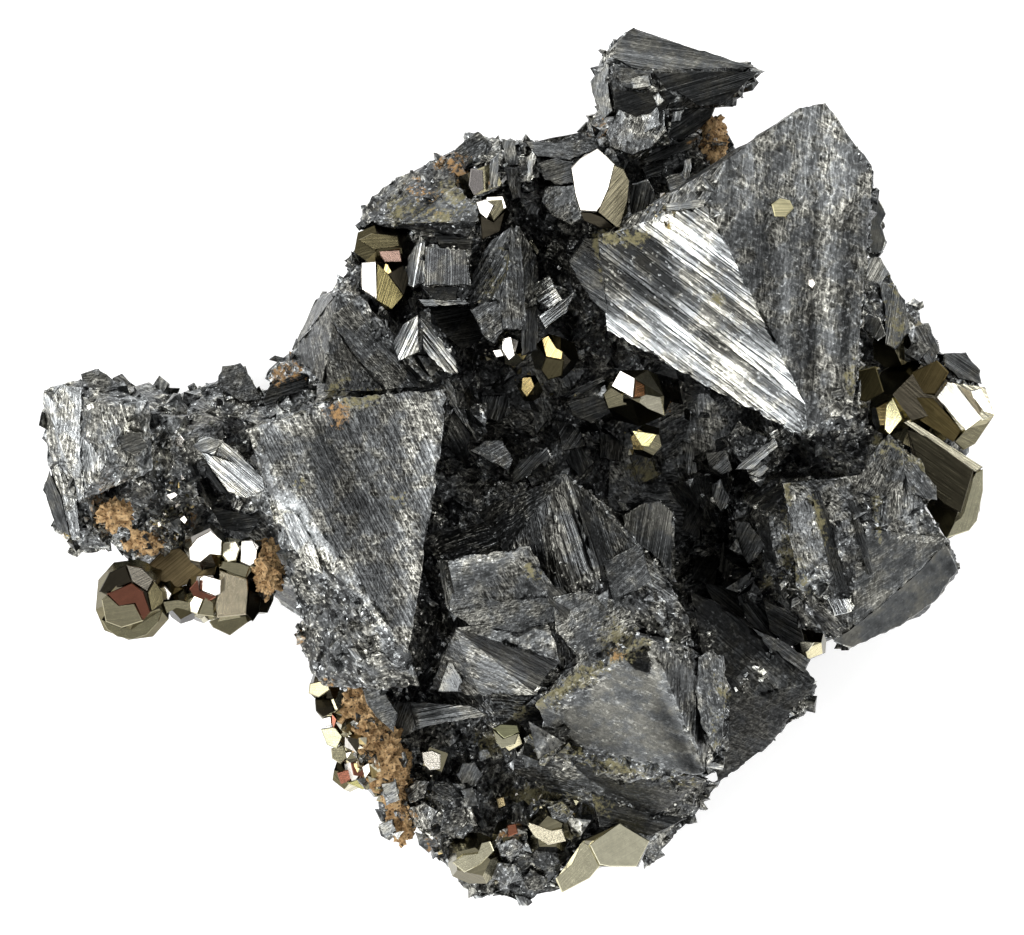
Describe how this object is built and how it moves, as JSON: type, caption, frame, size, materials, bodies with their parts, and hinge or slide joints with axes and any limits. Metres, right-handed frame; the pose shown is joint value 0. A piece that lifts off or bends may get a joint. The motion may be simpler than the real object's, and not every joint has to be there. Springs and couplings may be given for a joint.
{
  "type": "tetrahedrite and pyrite specimen",
  "caption": "Mineral specimen: sharp striated tetrahedrite crystals on sulphide matrix, with brassy pyrite crystals and brown limonite crusts, lying on a flat cut back.",
  "frame": {"origin": "centre of the bounding box in plan, on the flat cut back that the specimen rests on", "axes": "+Z out of the flat cut towards the viewer of the picture, +X to the picture's right, +Y to its top"},
  "size_m": [0.0958, 0.0882, 0.0385],
  "materials": {
    "tetrahedrite": "dark steel-grey metallic crystal, striated and sparkling",
    "pyrite": "pale brassy polished crystal faces",
    "limonite": "earthy ochre crust"
  },
  "bodies": {
    "root": {"limonite_arm": "limonite", "limonite_far_left": "limonite", "limonite_left": "limonite", "limonite_lower_left": "limonite", "limonite_top": "limonite", "pyrite_foot_left": "pyrite", "pyrite_foot_middle": "pyrite", "pyrite_foot_pair": "pyrite", "pyrite_foot_right": "pyrite", "pyrite_front": "pyrite", "pyrite_front_small": "pyrite", "pyrite_hollow": "pyrite", "pyrite_hollow_foot": "pyrite", "pyrite_inner_gold": "pyrite", "pyrite_inner_low": "pyrite", "pyrite_inner_white": "pyrite", "pyrite_ledge_block": "pyrite", "pyrite_ledge_front": "pyrite", "pyrite_ledge_under": "pyrite", "pyrite_left_cluster": "pyrite", "pyrite_lower_left_cluster": "pyrite", "pyrite_right_cluster": "pyrite", "pyrite_rim_foot": "pyrite", "pyrite_top": "pyrite", "pyrite_under_slope": "pyrite", "pyrite_upper_left": "pyrite", "tetrahedrite_mass": "tetrahedrite"}
  },
  "joints": []
}
